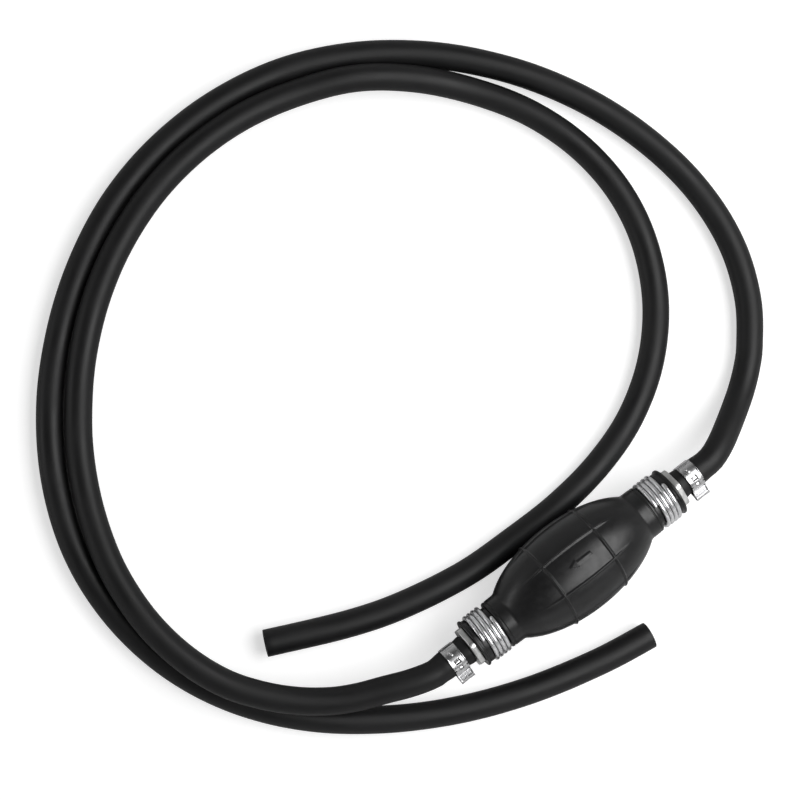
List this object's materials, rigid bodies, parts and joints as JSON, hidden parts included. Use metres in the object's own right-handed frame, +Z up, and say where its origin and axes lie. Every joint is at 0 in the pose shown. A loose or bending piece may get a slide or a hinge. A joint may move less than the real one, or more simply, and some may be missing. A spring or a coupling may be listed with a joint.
{
  "type": "siphon bulb pump",
  "caption": "Rubber squeeze-bulb siphon and priming pump: ribbed bulb, check valves in the necks, wire neck clamps, hex barbed fittings, band hose clamps and long free hoses.",
  "frame": {"origin": "on the resting surface, straight below the middle of the bulb", "axes": "+X along the flow axis from the bulb towards the inlet fitting, +Z up, +Y on the side where the hoses make their loop"},
  "size_m": [0.3849, 0.3633, 0.0488],
  "materials": {
    "bulb_rubber": "satin moulded black rubber",
    "hose_rubber": "smooth satin extruded black rubber",
    "seal_rubber": "matt nitrile disc",
    "fitting_aluminium": "turned satin aluminium",
    "clamp_steel": "bright zinc plated steel",
    "valve_brass": "turned brass seat",
    "valve_nylon": "natural nylon moulding",
    "spring_steel": "bright stainless spring wire"
  },
  "bodies": {
    "pump": {"bulb": "bulb_rubber", "inlet_fitting": "fitting_aluminium", "inlet_neck_clamp": "clamp_steel", "inlet_hose_clamp": "clamp_steel", "inlet_hose_socket": "hose_rubber", "inlet_hose": "hose_rubber", "inlet_valve_seat": "valve_brass", "inlet_valve_cage": "valve_nylon", "inlet_valve_spring": "spring_steel", "inlet_snap_ring": "spring_steel", "outlet_fitting": "fitting_aluminium", "outlet_neck_clamp": "clamp_steel", "outlet_hose_clamp": "clamp_steel", "outlet_hose_socket": "hose_rubber", "outlet_hose": "hose_rubber", "outlet_valve_seat": "valve_brass", "outlet_valve_cage": "valve_nylon", "outlet_valve_spring": "spring_steel", "outlet_snap_ring": "spring_steel"},
    "squeeze": {"squeeze_panel": "bulb_rubber"},
    "inlet_valve": {"inlet_poppet": "valve_nylon", "inlet_valve_seal": "seal_rubber"},
    "outlet_valve": {"outlet_poppet": "valve_nylon", "outlet_valve_seal": "seal_rubber"}
  },
  "joints": [
    {"name": "bulb_squeeze", "type": "slide", "parent": "pump", "child": "squeeze", "axis": [0, 0, -1], "range_m": [0, 0.0065], "stiffness_N_per_m": 300, "springref_m": -0.002},
    {"name": "inlet_valve_slide", "type": "slide", "parent": "pump", "child": "inlet_valve", "axis": [-1, 0, 0], "range_m": [0, 0.0022], "stiffness_N_per_m": 30, "springref_m": -0.003, "deforming": ["inlet_valve_spring"]},
    {"name": "outlet_valve_slide", "type": "slide", "parent": "pump", "child": "outlet_valve", "axis": [-1, 0, 0], "range_m": [0, 0.0022], "stiffness_N_per_m": 30, "springref_m": -0.003, "deforming": ["outlet_valve_spring"]}
  ],
  "couplings": [
    {"joint": "outlet_valve_slide", "follows": "bulb_squeeze", "ratio": 0.338}
  ]
}
